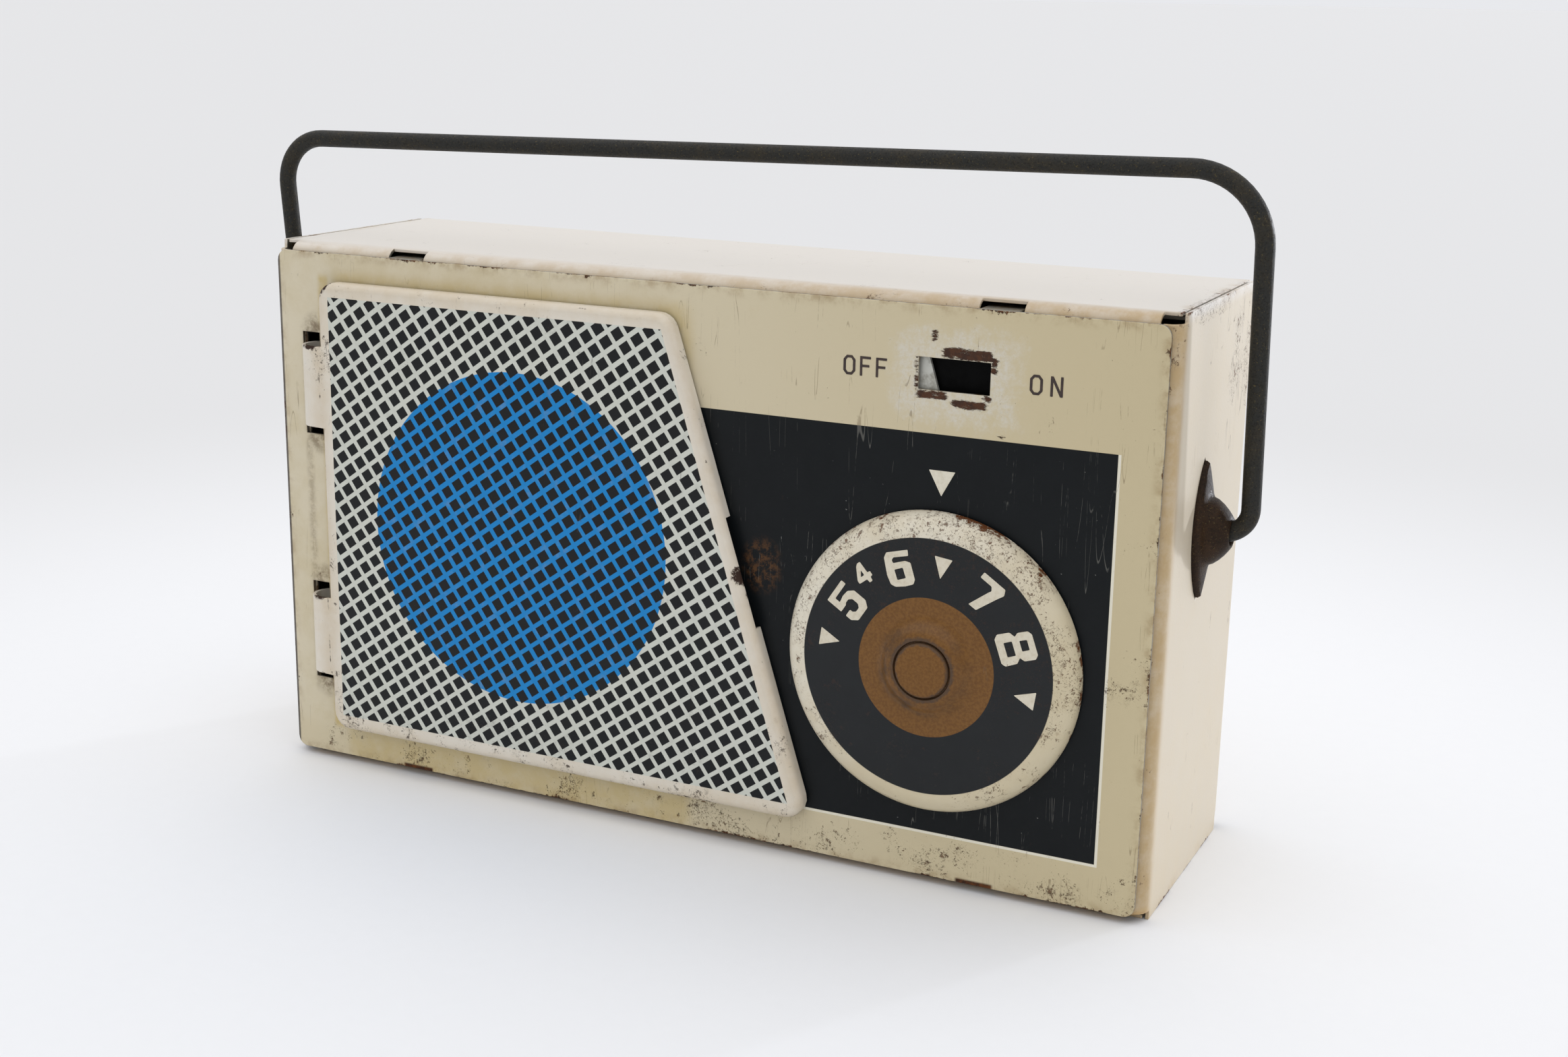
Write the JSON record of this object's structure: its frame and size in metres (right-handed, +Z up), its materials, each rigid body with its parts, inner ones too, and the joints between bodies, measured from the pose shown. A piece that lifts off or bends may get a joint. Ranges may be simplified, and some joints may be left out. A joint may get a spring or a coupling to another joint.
{
  "type": "pocket radio",
  "caption": "Tinplate pocket radio: folded box case, printed pan-shaped grille door on curled hinge tabs, turning dial, sliding switch plate and a wire bail handle.",
  "frame": {"origin": "centre of the case's bottom face, on the surface it stands on; the bail is left out of the centring", "axes": "+X towards the dial end, as seen from the front; the printed face looks along -Y; +Z up"},
  "size_m": [0.1224, 0.0361, 0.0785],
  "materials": {
    "cream_enamel": "aged cream enamel on tinplate, satin",
    "printed_face": "lithographed cream and blue-black tinplate, satin",
    "printed_grille": "lithographed grey, black and blue lattice on cream tinplate, satin",
    "printed_dial": "lithographed black and brown tinplate with a cream rim, satin",
    "gold_lacquer": "worn brown-gold lacquer, satin",
    "grey_slide": "dull grey tinplate",
    "bare_tin": "bare tinplate, dull",
    "dark_steel": "dark oxidised steel, satin"
  },
  "bodies": {
    "case": {"case_shell": "cream_enamel", "end_panel_right": "cream_enamel", "end_panel_left": "cream_enamel", "face_plate": "printed_face", "switch_guide": "bare_tin", "bail_boss_right": "dark_steel", "bail_boss_left": "dark_steel"},
    "door": {"grille_door": "printed_grille"},
    "dial": {"dial_cap": "printed_dial", "dial_rivet": "gold_lacquer", "dial_washer": "bare_tin"},
    "switch": {"switch_slide": "grey_slide"},
    "bail": {"bail_wire": "dark_steel", "bail_clip_left": "bare_tin", "bail_clip_right": "bare_tin"}
  },
  "joints": [
    {"name": "door_hinge", "type": "hinge", "parent": "case", "child": "door", "pos_m": [-0.0483, -0.01595, 0.0325], "axis": [0, 0, -1], "range_deg": [0, 85]},
    {"name": "dial_turn", "type": "hinge", "parent": "case", "child": "dial", "pos_m": [0.0308, -0.01615, 0.0254], "axis": [0, -1, 0], "continuous": true},
    {"name": "switch_travel", "type": "slide", "parent": "case", "child": "switch", "axis": [1, 0, 0], "range_m": [0, 0.005]},
    {"name": "bail_swing", "type": "hinge", "parent": "case", "child": "bail", "pos_m": [0, -0.00315, 0.04], "axis": [-1, 0, 0], "range_deg": [-48, 148]}
  ]
}
